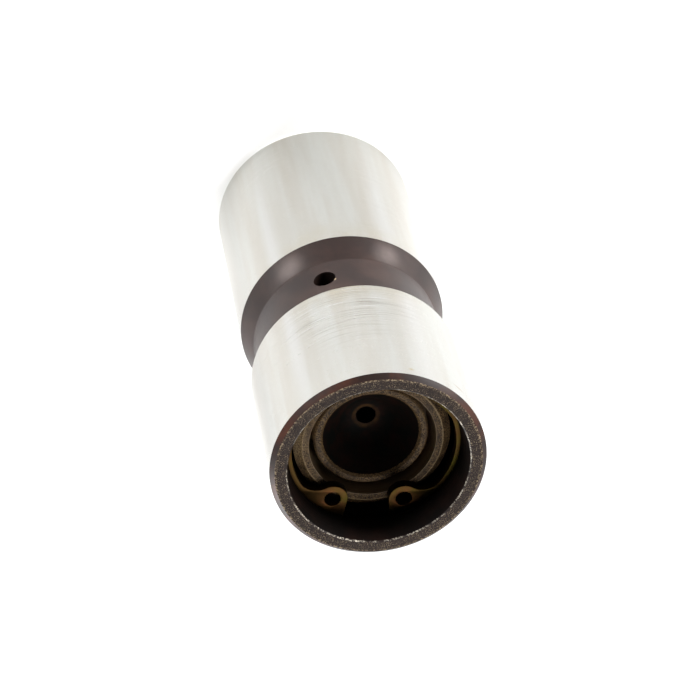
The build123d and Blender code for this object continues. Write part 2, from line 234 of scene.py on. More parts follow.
class Finishes(bpy.types.PropertyGroup):
    """Colours of the metals and their coatings"""

    ground: colour("Ground steel", "#c4c5c1", "Bare ground steel of the lands")
    # Also tints the warmer stripes along the lands, which are painted shade
    ground_warm: colour("Oil film", "#bab6ae", "Thin film of dried oil on the ground steel")
    ground_gold: colour("Golden film", "#b5aa90", "Thicker film next to the oil band")
    scratch: colour("Scratches", "#746c62", "Lines left by handling")
    phosphate: colour("Phosphate", "#1a0f0c", "Dark coating of everything that isn't ground")
    phosphate_light: colour("Worn phosphate", "#2b1c17", "Where the coating is thin")
    # Painted highlight: the two pale patches on the band's flank stand in for lights shining on it
    flank_highlight_paint: colour("Rubbed phosphate", "#544a47", "Where the band's flank is rubbed pale")
    rust: colour("Rust tint", "#371b10", "Reddish stain in the coating")
    face: colour("Mouth's face", "#1f1613", "Matt phosphate of the mouth's face")
    face_light: colour("Worn face", "#2d221e", "Where the face's coating is thin")
    chip: colour("Chips", "#a08c70", "Bare steel where the coating is chipped")
    # Torn bare steel, painted pale so that the edge's line is partly a painted highlight
    torn: colour("Torn steel", "#c0b7a7", "Bare steel torn at the mouth's inner edge")
    bore: colour("Bore", "#0b0807", "Coating inside the bore")
    bore_brown: colour("Bore stain", "#150c09", "Red brown stain inside the bore")
    zinc: colour("Zinc", "#2d200f", "Yellow passivated zinc of the snap ring")
    zinc_green: colour("Green zinc", "#2d280c", "Greenish interference tint of the zinc")
    zinc_copper: colour("Copper zinc", "#422716", "Copper interference tint of the zinc")
    grain: colour("Rubbed steel", "#7b6343", "Tan steel where the phosphate is rubbed off")
    # Also the painted light on the +X side of the plunger's chamfer
    grain_tan: colour("Worn chamfer", "#a58e6c", "Tan steel of the plunger's worn chamfer")
    grain_dark: colour("Grainy phosphate", "#271c15", "Phosphate between the rubbed grains")
    cup: colour("Cup", "#0a0a08", "Dark burnt cup")
    cup_brown: colour("Cup stain", "#1a0c08", "Red brown stain in the cup")
    cup_halo: colour("Cup halo", "#6b4a26", "Copper coloured wear round the oil hole")
    oiled: colour("Oiled steel", "#8c7a64", "Oily brown steel of hidden walls")
    wire: colour("Spring wire", "#8d8a86", "Drawn spring wire")
    sheet: colour("Sheet", "#9a958d", "Cold rolled sheet of the cage")
    sheet_stain: colour("Oil stain", "#6a635a", "Oil stain on sheet and wire")
    blued: colour("Blued sheet", "#23242a", "Blued sheet of the metering disc")
    # Also tints the paler stripes along the lands, which are painted reflected light
    ball: colour("Ball", "#d0d1d2", "Lapped bearing ball")


class StageSizes(bpy.types.PropertyGroup):
    """Floor, light and camera"""

    floor: FloatProperty(name="Floor", description="Side of the floor", default=0.8, unit="LENGTH")
    floor_colour: colour("Floor colour", "#f4f4f4", "Matt white of the floor")
    sky: FloatProperty(name="Surroundings", description="Strength of the white walls", default=1.0)
    top: FloatProperty(name="Ceiling", description="Strength of the dim ceiling", default=0.04)
    front: FloatProperty(name="Front", description="Share of light from the open front", default=0.45)
    light: FloatProperty(name="Lights", description="Brightness of all the soft lights", default=1.0)
    reach: length("Light distance", 500, "From the lifter to each light")
    lens: FloatProperty(name="Lens", description="Focal length", default=140, unit="CAMERA")


# Making the pieces


def in_mm(group):
    """The sizes of a group, its lengths in millimetres and the rest as they are."""
    sizes = SimpleNamespace()
    for key, item in group.bl_rna.properties.items():
        value = getattr(group, key)
        setattr(sizes, key, value / MM if item.unit == "LENGTH" else value)
    return sizes


def linked(name, data):
    """A new object at the origin, in the place of an older one of that name."""
    older = bpy.data.objects.get(name)
    if older:
        bpy.data.objects.remove(older)
    piece = bpy.data.objects.new(name, data)
    bpy.context.scene.collection.objects.link(piece)
    return piece


def rounded(corners, closed=False):
    """Rounds a section's corners, each (radius, height, rounding, finish of the run that follows)."""
    points = []
    for i, (radius, height, rounding, finish) in enumerate(corners):
        end_of_open = not closed and i in (0, len(corners) - 1)
        if end_of_open or not rounding:
            points.append((radius, height, finish))
            continue
        corner = Vector((radius, height))
        before = Vector(corners[i - 1][:2]) - corner
        after = Vector(corners[(i + 1) % len(corners)][:2]) - corner
        half = before.angle(after) / 2
        reach = min(rounding / tan(half), 0.45 * before.length, 0.45 * after.length)
        bend = reach * tan(half)
        centre = corner + (before.normalized() + after.normalized()).normalized() * bend / sin(half)
        start = corner + before.normalized() * reach - centre
        end = corner + after.normalized() * reach - centre
        for step in range(ARC_STEPS + 1):
            point = centre + start.lerp(end, step / ARC_STEPS).normalized() * bend
            points.append((point.x, point.y, finish))
    return points


def turned(name, section, finishes, closed=False, sides=SIDES):
    """Turns a section round the Z axis. It runs up the outside and down the inside, and may touch
    the axis."""
    places, rings = [], []
    for radius, height, _ in section:
        if radius < 1e-9:
            rings.append([len(places)])
            places.append((0, 0, height))
            continue
        rings.append(list(range(len(places), len(places) + sides)))
        for k in range(sides):
            turn = 2 * pi * k / sides
            places.append((radius * cos(turn), radius * sin(turn), height))
    faces, slots = [], []
    runs = list(zip(rings, rings[1:] + rings[:1], section))
    if not closed:
        runs.pop()
    for lower, upper, (_, _, finish) in runs:
        for k in range(sides):
            n = (k + 1) % sides
            if len(lower) == 1:
                faces.append((lower[0], upper[n], upper[k]))
            elif len(upper) == 1:
                faces.append((lower[k], lower[n], upper[0]))
            else:
                faces.append((lower[k], lower[n], upper[n], upper[k]))
            slots.append(finish)
    mesh = bpy.data.meshes.new(name)
    mesh.from_pydata([[c * MM for c in p] for p in places], [], faces)
    mesh.polygons.foreach_set("material_index", slots)
    for finish in finishes:
        mesh.materials.append(finish)
    return linked(name, mesh)


def shaped(piece):
    """Gives the piece the shape that its modifiers make, and takes them off."""
    graph = bpy.context.evaluated_depsgraph_get()
    mesh = bpy.data.meshes.new_from_object(piece.evaluated_get(graph))
    if piece.type == "MESH":
        piece.modifiers.clear()
        piece.data = mesh
        return piece
    name = piece.name
    bpy.data.objects.remove(piece)
    return linked(name, mesh)


def smoothed(piece, crease=30):
    """Shades the piece smooth, with sharp edges where it turns by more than the crease."""
    mesh = piece.data
    mesh.polygons.foreach_set("use_smooth", [True] * len(mesh.polygons))
    mesh.set_sharp_from_angle(angle=radians(crease))
    weighted = piece.modifiers.new("Even shading", "WEIGHTED_NORMAL")
    weighted.keep_sharp = True
    weighted.weight = 100
    return shaped(piece)


def drilled(piece, *cutters):
    """Cuts the cutters out of the piece and removes them."""
    for cutter in cutters:
        cut = piece.modifiers.new("Cut", "BOOLEAN")
        cut.operation = "DIFFERENCE"
        cut.solver = "EXACT"
        cut.object = cutter
    shaped(piece)
    for cutter in cutters:
        bpy.data.objects.remove(cutter)


def drill(radius, start, end, turn, height, finish, finishes, flare_at=None, flare=0.0):
    """A cutter that lies level, points outwards at that turn and widens a little at flare_at."""
    wide = radius + 2 * flare
    corners = [(0, start, 0, finish), (radius, start, 0, finish)]
    if flare_at:
        corners += [(radius, flare_at - flare, 0, finish), (wide, flare_at + flare, 0, finish)]
    corners += [(wide, end, 0, finish), (0, end, 0, finish)]
    cutter = turned("Drill", rounded(corners), finishes, sides=HOLE_SIDES)
    lay_level = Matrix.Rotation(turn, 4, "Z") @ Matrix.Rotation(pi / 2, 4, "Y")
    cutter.data.transform(Matrix.Translation((0, 0, height * MM)) @ lay_level)
    return cutter


def arc(centre, radius, start, end, steps):
    """Points on an arc from one angle to another, in degrees from +X, both ends included."""
    angles = [radians(start + (end - start) * k / steps) for k in range(steps + 1)]
    return [(centre[0] + radius * cos(a), centre[1] + radius * sin(a)) for a in angles]


def stamped(name, outlines, bottom, thickness, edge, finish):
    """A flat stamping with rounded edges. The first outline runs anticlockwise and holes run clockwise."""
    sheet = bpy.data.curves.new(name, "CURVE")
    sheet.dimensions = "2D"
    sheet.fill_mode = "BOTH"
    sheet.extrude = (thickness / 2 - edge) * MM
    sheet.bevel_depth = edge * MM
    sheet.bevel_resolution = 2
    sheet.offset = -edge * MM
    for outline in outlines:
        line = sheet.splines.new("POLY")
        line.points.add(len(outline) - 1)
        for point, (x, y) in zip(line.points, outline):
            point.co = (x * MM, y * MM, 0, 1)
        line.use_cyclic_u = True
    piece = shaped(linked(name, sheet))
    weld = piece.modifiers.new("Weld", "WELD")
    weld.merge_threshold = 1e-7
    shaped(piece)
    piece.data.transform(Matrix.Translation((0, 0, (bottom + thickness / 2) * MM)))
    piece.data.materials.clear()
    piece.data.materials.append(finish)
    return smoothed(piece)


def set_input(modifier, name, value):
    """Sets a Geometry Nodes modifier's input by its socket's identifier."""
    for item in modifier.node_group.interface.items_tree:
        if item.name == name and item.in_out == "INPUT":
            modifier[item.identifier] = value
            return
    raise KeyError(name)


def grown(name, tree, **inputs):
    """A plain mesh made by a Geometry Nodes tree."""
    piece = linked(name, bpy.data.meshes.new(name))
    modifier = piece.modifiers.new("Grow", "NODES")
    modifier.node_group = tree
    for key, value in inputs.items():
        set_input(modifier, key.replace("_", " ").capitalize(), value)
    return shaped(piece)


# Materials


def add_node(tree, kind, inputs=(), out=0, **settings):
    """Adds a node with its settings, and gives one of its outputs. Its inputs, in order or by name, are
    values or other nodes' outputs. A kind without Node in its name is a shader node."""
    node = tree.nodes.new(kind if "Node" in kind else "ShaderNode" + kind)
    for name, value in settings.items():
        setattr(node, name, value)
    for name, value in inputs.items() if isinstance(inputs, dict) else enumerate(inputs):
        if isinstance(value, bpy.types.NodeSocket):
            tree.links.new(value, node.inputs[name])
        else:
            node.inputs[name].default_value = value
    return node.outputs[out] if node.outputs else None


def new_finish(name):
    """An empty material, its tree, and the place on the piece in millimetres."""
    material = bpy.data.materials.get(name) or bpy.data.materials.new(name)
    material.use_nodes = True
    tree = material.node_tree
    tree.nodes.clear()
    here = add_node(tree, "TexCoord", out="Object")
    place = add_node(tree, "Mapping", {"Vector": here, "Scale": (1 / MM,) * 3})
    return material, tree, place


def coated(tree, base, *coats):
    """The base colour under coats of other colours. Each coat has its colour and its share from 0 to
    1, or several shares that are multiplied."""
    mixed = (*base, 1)
    for tint, share, *more in coats:
        for other in more:
            share = add_node(tree, "Math", (share, other), operation="MULTIPLY")
        mixed = add_node(tree, "Mix", {0: share, 6: mixed, 7: (*tint, 1)}, out=2, data_type="RGBA")
    return mixed


def shade(tree, base, rough, relief=None, depth=0.0, metallic=0.0, gloss=0.5):
    """Ends a finish with its shader. Its relief runs from 0 to 1 and is so many micrometres deep. Two
    roughnesses are those of the relief's bottom and top."""
    if isinstance(rough, tuple):
        rough = add_node(tree, "MapRange", {"Value": relief, "To Min": rough[0], "To Max": rough[1]})
    look = {"Base Color": base, "Metallic": metallic, "Roughness": rough, "Specular IOR Level": gloss}
    if relief:
        look["Normal"] = add_node(tree, "Bump", {"Height": relief, "Distance": depth * 1e-6})
    surface = add_node(tree, "BsdfPrincipled", look)
    add_node(tree, "OutputMaterial", {"Surface": surface})


def speckle(tree, place, size, low, high, detail=2.0, shift=0.0):
    """Random spots about that many mm across, 0 below low and 1 above high."""
    moved = add_node(tree, "Mapping", {"Vector": place, "Location": (shift, shift / 2, 0)})
    spots = {"Vector": moved, "Scale": 1 / (2 * size), "Detail": detail, "Roughness": 0.6}
    noise = add_node(tree, "TexNoise", spots)
    return add_node(tree, "MapRange", {"Value": noise, "From Min": low, "From Max": high})


def lines(tree, place, run, spacing, tilt=(0.0, 0.0)):
    """Fine lines round the axis, that many mm long and apart, tilted by two angles in degrees."""
    drawn_out = {
        "Vector": place,
        "Rotation": (radians(tilt[0]), radians(tilt[1]), 0),
        "Scale": (2 * run, 2 * run, 2 * spacing),
    }
    along = add_node(tree, "Mapping", drawn_out, vector_type="TEXTURE")
    noise = add_node(tree, "TexNoise", {"Vector": along, "Scale": 1.0, "Detail": 2.0, "Roughness": 0.55})
    return add_node(tree, "MapRange", {"Value": noise, "From Min": 0.3, "From Max": 0.7})


def laid_flat(tree, place, radius):
    """The place on a round surface laid flat: mm round it from its -Y side, and mm up."""
    x, y, z = add_node(tree, "SeparateXYZ", [place]).node.outputs
    front = add_node(tree, "Math", (y, -1.0), operation="MULTIPLY")
    turn = add_node(tree, "Math", (x, front), operation="ARCTAN2")
    around = add_node(tree, "Math", (turn, radius), operation="MULTIPLY")
    return add_node(tree, "CombineXYZ", (around, z))


def patch(tree, place, centre, size, most=1.0):
    """A soft oval, 0 from its edge on and at its most in its middle, by its centre and half sizes in mm."""
    oval = {"Vector": place, "Location": centre, "Scale": size}
    local = add_node(tree, "Mapping", oval, vector_type="TEXTURE")
    away = add_node(tree, "VectorMath", [local], out="Value", operation="LENGTH")
    fall = {"Value": away, "From Min": 1.0, "From Max": 0.0, "To Max": most}
    return add_node(tree, "MapRange", fall, interpolation_type="SMOOTHSTEP")


def scratches(tree, flat, where, *kinds):
    """Separate scratches in a patch of a surface laid flat. Each kind has its length and spacing in
    mm, its tilt in degrees and a shift of its own."""
    marks = 0.0
    for run, gap, tilt, shift in kinds:
        drawn_out = {
            "Vector": flat,
            "Location": (shift, shift, 0),
            "Rotation": (0, 0, radians(tilt)),
            "Scale": (2 * run, gap, 1),
        }
        along = add_node(tree, "Mapping", drawn_out, vector_type="TEXTURE")
        off = add_node(tree, "TexVoronoi", {"Vector": along, "Scale": 1.0}, voronoi_dimensions="2D")
        chance = off.node.outputs["Color"]
        line = add_node(tree, "MapRange", {"Value": off, "From Min": 0.25, "From Max": 0.1})
        chosen = add_node(tree, "MapRange", {"Value": chance, "From Min": 0.35, "From Max": 0.8})
        scratch = add_node(tree, "Math", (line, chosen), operation="MULTIPLY")
        marks = add_node(tree, "Math", (marks, scratch), operation="MAXIMUM")
    return add_node(tree, "Math", (marks, where), operation="MULTIPLY")


def from_axis(tree, place):
    """The distance in mm from the lifter's axis."""
    level = add_node(tree, "VectorMath", (place, (1, 1, 0)), operation="MULTIPLY")
    return add_node(tree, "VectorMath", [level], out="Value", operation="LENGTH")


def round_line(tree, place, radius, width, full, most=1.0, fade="LINEAR"):
    """A line round the axis, 0 from its width in mm on and at its most up to its full width."""
    off = add_node(tree, "Math", (from_axis(tree, place), radius), operation="SUBTRACT")
    off = add_node(tree, "Math", [off], operation="ABSOLUTE")
    fall = {"Value": off, "From Min": width, "From Max": full, "To Max": most}
    return add_node(tree, "MapRange", fall, interpolation_type=fade)


def ground_steel(finishes, mm):
    """Hardened steel, centreless ground: pale silver that mirrors its surroundings softly."""
    material, tree, place = new_finish("Ground hardened steel")
    flat = laid_flat(tree, place, mm.radius)
    band_edge = mm.height - mm.band_start

    # The wheel's lines lie 0.01 mm apart and its grit tears 0.01 mm pits. Both are drawn coarser, to show
    grinding = lines(tree, place, 5.0, 0.06, (0.3, 0.2))
    grit = speckle(tree, place, 0.08, 0.3, 0.7)

    # A film of dried oil, grainy with the grit, with paler and warmer stripes along the axis that are
    # painted reflected light and painted shade
    upright = {"Vector": flat, "Scale": (1.0, 14.0, 1.0)}
    streaked = add_node(tree, "Mapping", upright, vector_type="TEXTURE")
    film = speckle(tree, streaked, 1.6, 0.4, 0.7, detail=3.0)
    film = add_node(tree, "Math", (grit, 0.35, film), operation="MULTIPLY_ADD")
    coats = [(finishes.ground_warm, film)]
    # Painted stripes: the paler ones are painted reflected light and the warmer ones painted shade, each by
    # its place round the land and half width in mm, its share and its tint
    for turn, width, share, tint in (
        (-4.3, 2.2, 0.45, finishes.ball),
        (7.3, 1.4, 0.6, finishes.ground_warm),
        (8.9, 1.3, 0.5, finishes.ball),
        (10.6, 1.4, 0.6, finishes.ground_warm),
    ):
        coats.append((tint, patch(tree, flat, (turn, 30.0, 0), (width, 40.0, 1.0), share)))

    # It is thicker and golden next to the oil band
    by_band = patch(tree, flat, (1.0, band_edge - mm.band_length / 2, 0), (15.0, 10.0, 1.0))
    uneven = speckle(tree, place, 1.3, 0.25, 0.65, shift=9.0)
    coats.append((finishes.ground_gold, by_band, uneven))

    # Above the band, long scratches run round the land, dark and light, with a dark scuff among them
    # and a few short crossed ones nearer the mouth
    rubbed = patch(tree, flat, (2.6, band_edge + 4.2, 0), (11.0, 8.5, 1.0))
    knocked = patch(tree, flat, (1.4, band_edge + 10.4, 0), (3.0, 3.0, 1.0), 0.4)
    scuff = patch(tree, flat, (7.0, band_edge + 4.1, 0), (1.1, 0.35, 1.0), 0.15)
    dark_ones = scratches(tree, flat, rubbed, (7.0, 0.17, 1.6, 0.0), (4.5, 0.14, -0.8, 3.3))
    dark_ones = add_node(tree, "Math", (dark_ones, scuff), operation="MAXIMUM")
    crossed = scratches(tree, flat, knocked, (1.4, 0.3, 58.0, 1.7), (1.1, 0.3, 120.0, 5.1))
    light_ones = scratches(tree, flat, rubbed, (3.8, 0.3, 0.6, 7.7))
    light_ones = add_node(tree, "Math", (crossed, light_ones), operation="MAXIMUM")
    coats += [(finishes.ball, light_ones), (finishes.scratch, dark_ones)]

    # A brown scuff and a small golden stain next to the mouth
    for turn, drop, size, stain in (
        (-8.5, 2.25, (1.3, 0.22, 1.0), finishes.chip),
        (-2.4, 1.5, (0.45, 0.3, 1.0), finishes.ground_gold),
    ):
        coats.append((stain, patch(tree, flat, (turn, mm.height - drop, 0), size)))

    worn = add_node(tree, "Math", (dark_ones, light_ones), operation="ADD")
    worn = add_node(tree, "Math", (worn, 0.5), operation="MULTIPLY")
    relief = add_node(tree, "Math", (grinding, grit, worn), operation="MULTIPLY_ADD")
    shade(tree, coated(tree, finishes.ground, *coats), (0.2, 0.32), relief, 0.45, metallic=1.0)
    return material


def hole_height(mm):
    """The feed hole opens in the middle of the band's floor."""
    return mm.height - mm.band_start - (mm.band_length + mm.upper_flank - mm.lower_flank) / 2


def phosphate(finishes, mm):
    """Steel with a dark manganese phosphate coat, oiled: satin brown black, a little cloudy."""
    material, tree, place = new_finish("Manganese phosphated steel")
    cloud = speckle(tree, place, 2.4, 0.42, 0.72, detail=4.0)
    crystals = speckle(tree, place, 0.06, 0.3, 0.7)
    coats = [(finishes.phosphate_light, cloud)]

    # Two painted highlights on the long flank: paler patches where the lights would shine on it
    flat = laid_flat(tree, place, mm.radius)
    flank = mm.height - mm.band_start - mm.band_length + mm.lower_flank / 2
    patchy = add_node(tree, "Math", (cloud, 0.5, 0.5), operation="MULTIPLY_ADD")
    for turn, width in ((7.7, 2.6), (-4.0, 2.4)):
        pale = patch(tree, flat, (turn, flank + 0.2, 0), (width, 1.9, 1.0))
        coats.append((finishes.flank_highlight_paint, pale, patchy))

    # A painted glint of light at the feed hole's edge, in the colour of the bare steel chips
    turn, floor = mm.hole_angle - 0.1, mm.radius - mm.band_depth
    edge = (floor * cos(turn), floor * sin(turn), hole_height(mm) + 0.55)
    coats.append((finishes.chip, patch(tree, place, edge, (0.3, 0.3, 0.3))))
    shade(tree, coated(tree, finishes.phosphate, *coats), (0.3, 0.38), crystals, 2.0, gloss=0.25)
    return material


def chamfer_phosphate(finishes):
    """The same coat on the turned chamfer: smoother, purple brown, with rusty stains."""
    material, tree, place = new_finish("Phosphated turned chamfer")
    turning = lines(tree, place, 6.0, 0.05)
    stain = speckle(tree, place, 1.8, 0.46, 0.66, detail=3.0, shift=3.0)
    coat = coated(tree, finishes.phosphate, (finishes.rust, stain))
    shade(tree, coat, (0.4, 0.5), turning, 1.0, gloss=0.2)
    return material


def chipped_face(finishes, mm):
    """The mouth's face: matt grainy phosphate, chipped to bare steel in specks and along its outer edge."""
    material, tree, place = new_finish("Chipped phosphated face")

    # Specks of bare steel, 0.05 to 0.15 mm across, closer together in clumps
    grains = speckle(tree, place, 0.05, 0.58, 0.67, detail=1.0)
    clumps = speckle(tree, place, 0.35, 0.3, 0.7, shift=5.0)
    specks = add_node(tree, "Math", (grains, clumps), operation="MULTIPLY")
    outer = mm.radius - mm.mouth_chamfer
    away = from_axis(tree, place)
    near = {"Value": away, "From Min": outer - 0.3, "From Max": outer - 0.05, "To Max": 0.8}
    edge = add_node(tree, "MapRange", near, interpolation_type="SMOOTHSTEP")
    broken = speckle(tree, place, 0.1, 0.5, 0.62, shift=2.0)
    rim = add_node(tree, "Math", (edge, broken), operation="MULTIPLY")
    bare = add_node(tree, "Math", (specks, rim), operation="MAXIMUM")

    pits = speckle(tree, place, 0.12, 0.35, 0.7, detail=3.0)
    coat = coated(tree, finishes.face, (finishes.face_light, pits), (finishes.chip, bare))
    relief = add_node(tree, "Math", (pits, bare), operation="SUBTRACT")
    shade(tree, coat, 0.6, relief, 10.0, gloss=0.15)
    return material


def torn_edge(finishes):
    """Bare steel torn by the boring tool, painted paler than bare steel as a painted highlight: a bright
    broken line at the mouth's inner edge.
    """
    material, tree, place = new_finish("Torn bright edge")
    flakes = speckle(tree, place, 0.08, 0.46, 0.58)
    runs = speckle(tree, place, 0.5, 0.38, 0.6, shift=3.0)
    torn = add_node(tree, "Math", (flakes, runs), operation="MULTIPLY")
    shade(tree, coated(tree, finishes.face, (finishes.torn, torn)), 0.5, torn, 20.0, gloss=0.2)
    return material


def bore_phosphate(finishes):
    """The coat inside the bore: matt, nearly black, with faint tool lines."""
    material, tree, place = new_finish("Phosphated bore")
    turning = lines(tree, place, 8.0, 0.09)
    cloud = speckle(tree, place, 1.6, 0.45, 0.75)
    coat = coated(tree, finishes.bore, (finishes.bore_brown, cloud))
    shade(tree, coat, (0.5, 0.65), turning, 2.0, gloss=0.03)
    return material


def yellow_zinc(finishes, lugs):
    """Spring steel with yellow passivated zinc: brown gold, greenish in places, copper at the lugs."""
    material, tree, place = new_finish("Yellow passivated zinc")
    coats = [(finishes.zinc_green, speckle(tree, place, 1.2, 0.48, 0.72, detail=3.0))]
    worn = speckle(tree, place, 0.45, 0.3, 0.6, shift=4.0)
    for lug in lugs:
        coats.append((finishes.zinc_copper, patch(tree, place, lug, (2.2, 2.2, 2.2)), worn))
    grain = speckle(tree, place, 0.05, 0.3, 0.7)
    shade(tree, coated(tree, finishes.zinc, *coats), (0.32, 0.45), grain, 2.5, metallic=1.0)
    return material


def worn_phosphate(finishes, seat, plunger):
    """Phosphate worn grainy by use: brown grey, rubbed to tan steel along the edges of the seat's rim
    and the plunger's flat, and most of all where the plunger's chamfer starts. The chamfer's +X side is
    painted tan too, as painted light where light falls on it."""
    material, tree, place = new_finish("Worn grainy phosphate")
    opening = seat.boss_radius - seat.rim_width - seat.rim_drop / 2
    boss = seat.boss_radius - seat.chamfer
    flat = plunger.radius - plunger.top_wall + plunger.top_flat
    grains = speckle(tree, place, 0.06, 0.4, 0.64, detail=2.0)
    cloud = speckle(tree, place, 0.6, 0.2, 0.6, detail=3.0, shift=6.0)
    rubbed = add_node(tree, "Math", (grains, cloud), operation="MULTIPLY")
    more = add_node(tree, "Math", (grains, 0.5, 0.5), operation="MULTIPLY_ADD")
    for radius, width in ((opening, 0.12), (boss, 0.08), (flat, 0.11)):
        edge = round_line(tree, place, radius, width, width / 3, 0.5)
        edge = add_node(tree, "Math", (edge, more), operation="MULTIPLY")
        rubbed = add_node(tree, "Math", (rubbed, edge), operation="MAXIMUM")

    line = round_line(tree, place, flat, 0.13, 0.03)
    # Painted light: the plunger chamfer's +X side, where light falls on it, is painted tan
    side = patch(tree, place, (flat + 0.8, 0, plunger.top - 0.11), (1.7, 6.5, 2.0))
    bare = add_node(tree, "Math", (line, side), operation="MAXIMUM")
    broken = add_node(tree, "Math", (grains, 0.5, 0.3), operation="MULTIPLY_ADD")
    coats = ((finishes.grain, rubbed), (finishes.grain_tan, bare, broken))
    coat = coated(tree, finishes.grain_dark, *coats)
    shade(tree, coat, 0.55, grains, 5.0, gloss=0.1)
    return material


def honed_steel(finishes):
    """Hardened steel, ground and honed: the plunger's outside, grey silver with the finest lines."""
    material, tree, place = new_finish("Honed hardened steel")
    honing = lines(tree, place, 3.0, 0.05, (12.0, 0.0))
    steel = coated(tree, finishes.ground, (finishes.ground_warm, honing))
    shade(tree, steel, (0.18, 0.28), honing, 0.6, metallic=1.0)
    return material


def oily_steel(finishes):
    """Oily steel of hidden walls: brown with faint tool lines, dark only for the little light there."""
    material, tree, place = new_finish("Oily brown steel")
    turning = lines(tree, place, 6.0, 0.06)
    shade(tree, coated(tree, finishes.oiled, (finishes.grain, turning)), 0.5, turning, 1.5, gloss=0.3)
    return material


def burnt_cup(finishes, hole_radius):
    """The cup, burnt dark by running dry oil: matt brown black, copper coloured round the oil hole."""
    material, tree, place = new_finish("Oil burnt cup")
    cloud = speckle(tree, place, 0.9, 0.4, 0.7, detail=3.0)
    glow = round_line(tree, place, hole_radius + 0.2, 0.4, 0.0, 0.32, "SMOOTHSTEP")
    uneven = speckle(tree, place, 0.5, 0.2, 0.7, shift=2.0)
    away = from_axis(tree, place)
    outside = add_node(tree, "Math", (away, hole_radius + 0.01), operation="GREATER_THAN")
    coats = ((finishes.cup_brown, cloud), (finishes.cup_halo, glow, uneven, outside))
    shade(tree, coated(tree, finishes.cup, *coats), 0.6, cloud, 1.0, gloss=0.05)
    return material


def drawn_wire(finishes):
    """Oil-hardened drawn spring wire: grey, satin, with faint lines."""
    material, tree, place = new_finish("Drawn spring wire")
    skin = speckle(tree, place, 0.12, 0.3, 0.7, detail=3.0)
    steel = coated(tree, finishes.wire, (finishes.sheet_stain, skin))
    shade(tree, steel, (0.3, 0.45), skin, 2.0, metallic=1.0)
    return material


def rolled_sheet(finishes):
    """Cold rolled sheet of the cage: plain grey steel with rolling grain."""
    material, tree, place = new_finish("Cold rolled sheet steel")
    grain = lines(tree, place, 2.0, 0.05, (90.0, 0.0))
    stain = speckle(tree, place, 1.2, 0.4, 0.7, detail=3.0)
    steel = coated(tree, finishes.sheet, (finishes.sheet_stain, stain))
    shade(tree, steel, (0.32, 0.44), grain, 1.5, metallic=1.0)
    return material


def blued_sheet(finishes):
    """Blued spring sheet of the metering disc: smooth blue black steel."""
    material, tree, place = new_finish("Blued spring sheet")
    film = speckle(tree, place, 1.0, 0.35, 0.7, detail=3.0)
    steel = coated(tree, finishes.blued, (finishes.phosphate, film))
    shade(tree, steel, 0.35, film, 0.5, metallic=0.7)
    return material


def lapped_ball(finishes):
    """Lapped bearing steel: a mirror with the faintest haze."""
    material, tree, place = new_finish("Lapped bearing steel")
    haze = speckle(tree, place, 0.4, 0.3, 0.7, detail=3.0)
    steel = coated(tree, finishes.ball, (finishes.ground, haze))
    shade(tree, steel, (0.08, 0.16), haze, 0.3, metallic=1.0)
    return material


# Geometry Nodes trees


def new_tree(name, numbers, whole=()):
    """A tree with one geometry output and named inputs, a finish among them, and those inputs."""
    older = bpy.data.node_groups.get(name)
    if older:
        bpy.data.node_groups.remove(older)
    tree = bpy.data.node_groups.new(name, "GeometryNodeTree")
    tree.interface.new_socket("Geometry", in_out="OUTPUT", socket_type="NodeSocketGeometry")
    for keys, kind in ((numbers, "Float"), (whole, "Int"), (["Finish"], "Material")):
        for key in keys:
            tree.interface.new_socket(key, in_out="INPUT", socket_type="NodeSocket" + kind)
    return tree, add_node(tree, "NodeGroupInput").node.outputs


def end_tree(tree, shape, given):
    """Ends a tree with real faces in their finish."""
    real = add_node(tree, "GeometryNodeRealizeInstances", [shape])
    painted = {"Geometry": real, "Material": given["Finish"]}
    add_node(tree, "NodeGroupOutput", [add_node(tree, "GeometryNodeSetMaterial", painted)])
    return tree


def coil_tree():
    """A coil of round wire whose turns close up towards both ends."""
    tree, given = new_tree("Coil of wire", ["Radius", "Wire", "Bottom", "Top", "Turns", "Closing"])
    line = add_node(tree, "GeometryNodeCurvePrimitiveLine")
    fine = add_node(tree, "GeometryNodeResampleCurve", {"Curve": line, "Count": COIL_STEPS + 1})
    share = add_node(tree, "GeometryNodeSplineParameter", out="Factor")
    circle = add_node(tree, "Math", (share, 2 * pi), operation="MULTIPLY")
    turn = add_node(tree, "Math", (circle, given["Turns"]), operation="MULTIPLY")
    cosine = add_node(tree, "Math", [turn], operation="COSINE")
    sine = add_node(tree, "Math", [turn], operation="SINE")
    x = add_node(tree, "Math", (cosine, given["Radius"]), operation="MULTIPLY")
    y = add_node(tree, "Math", (sine, given["Radius"]), operation="MULTIPLY")

    # The middle of the wire rises from half a wire above the bottom to half a wire below the top
    half_wire = add_node(tree, "Math", (given["Wire"], 0.5), operation="MULTIPLY")
    low = add_node(tree, "Math", (given["Bottom"], half_wire), operation="ADD")
    high = add_node(tree, "Math", (given["Top"], half_wire), operation="SUBTRACT")
    wave = add_node(tree, "Math", [circle], operation="SINE")
    slower = add_node(tree, "Math", (given["Closing"], -1 / (2 * pi)), operation="MULTIPLY")
    risen = add_node(tree, "Math", (wave, slower, share), operation="MULTIPLY_ADD")
    z = add_node(tree, "MapRange", {"Value": risen, "To Min": low, "To Max": high})
    place = add_node(tree, "CombineXYZ", (x, y, z))
    wound = add_node(tree, "GeometryNodeSetPosition", {"Geometry": fine, "Position": place})
    rim = {"Resolution": WIRE_SIDES, "Radius": half_wire}
    section = add_node(tree, "GeometryNodeCurvePrimitiveCircle", rim)
    swept = {"Curve": wound, "Profile Curve": section, "Fill Caps": True}
    tube = add_node(tree, "GeometryNodeCurveToMesh", swept)
    smooth = add_node(tree, "GeometryNodeSetShadeSmooth", {"Geometry": tube})
    return end_tree(tree, smooth, given)


